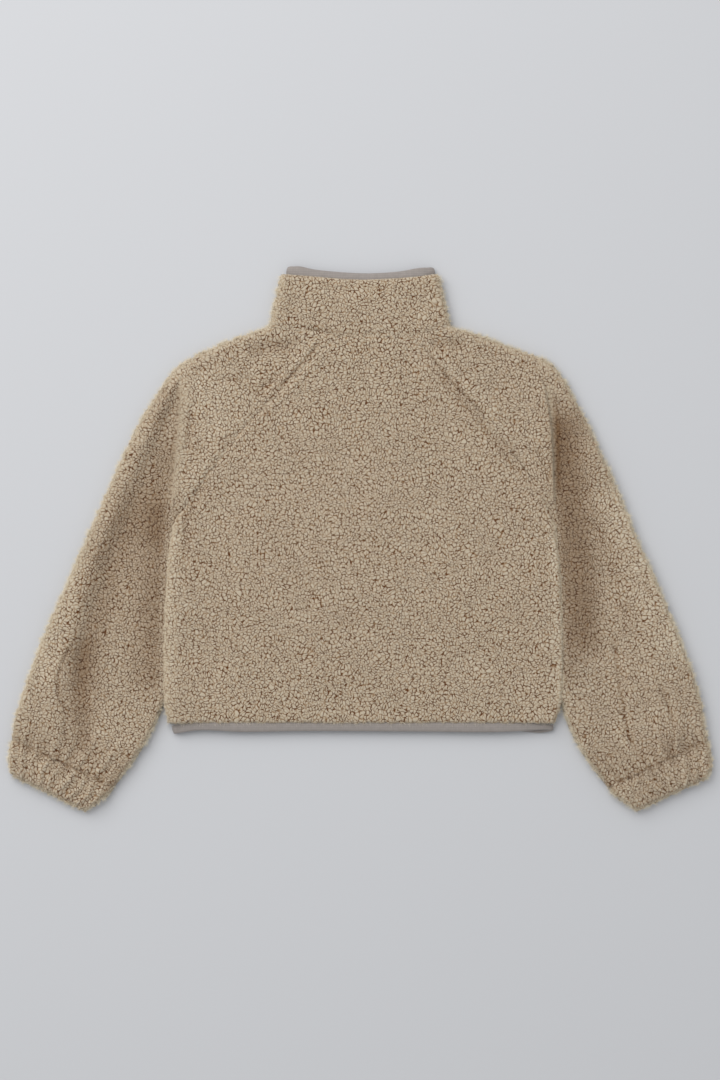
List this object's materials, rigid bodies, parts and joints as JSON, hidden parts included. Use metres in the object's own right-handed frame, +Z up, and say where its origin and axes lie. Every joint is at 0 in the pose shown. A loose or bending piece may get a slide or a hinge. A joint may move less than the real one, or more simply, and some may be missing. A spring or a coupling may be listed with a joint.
{
  "type": "plush zip cardigan laid flat on its front",
  "caption": "Cropped boa-fleece zip cardigan with raglan sleeves, stand collar, elastic cuffs and jersey-bound neck and hem, laid flat with its back up.",
  "frame": {"origin": "on the surface it lies on, under the middle of the garment's outline", "axes": "+X across the garment towards the wearer's right sleeve, +Y from the hem to the collar, +Z up, away from the surface, through the fronts to the back"},
  "size_m": [0.959, 0.7435, 0.018],
  "materials": {
    "fleece": "curled boa pile, matt beige",
    "binding": "smooth knitted jersey, taupe",
    "zip_tape": "woven tape, taupe",
    "zip_coil": "satin coil, taupe",
    "zip_metal": "satin plated casting"
  },
  "bodies": {
    "garment": {"back": "fleece", "left_front": "fleece", "right_front": "fleece", "left_sleeve": "fleece", "right_sleeve": "fleece", "left_cuff": "fleece", "right_cuff": "fleece", "collar": "fleece", "collar_binding": "binding", "hem_binding": "binding", "zip_tape_left": "zip_tape", "zip_tape_right": "zip_tape", "zip_chain": "zip_coil", "zip_box": "zip_metal", "zip_slider": "zip_metal"},
    "pull_tab": {"zip_pull_tab": "zip_metal"}
  },
  "joints": [
    {"name": "pull_tab_swing", "type": "hinge", "parent": "garment", "child": "pull_tab", "pos_m": [0, 0.2905, 0.00195], "axis": [1, 0, 0], "range_deg": [0, 165]}
  ]
}
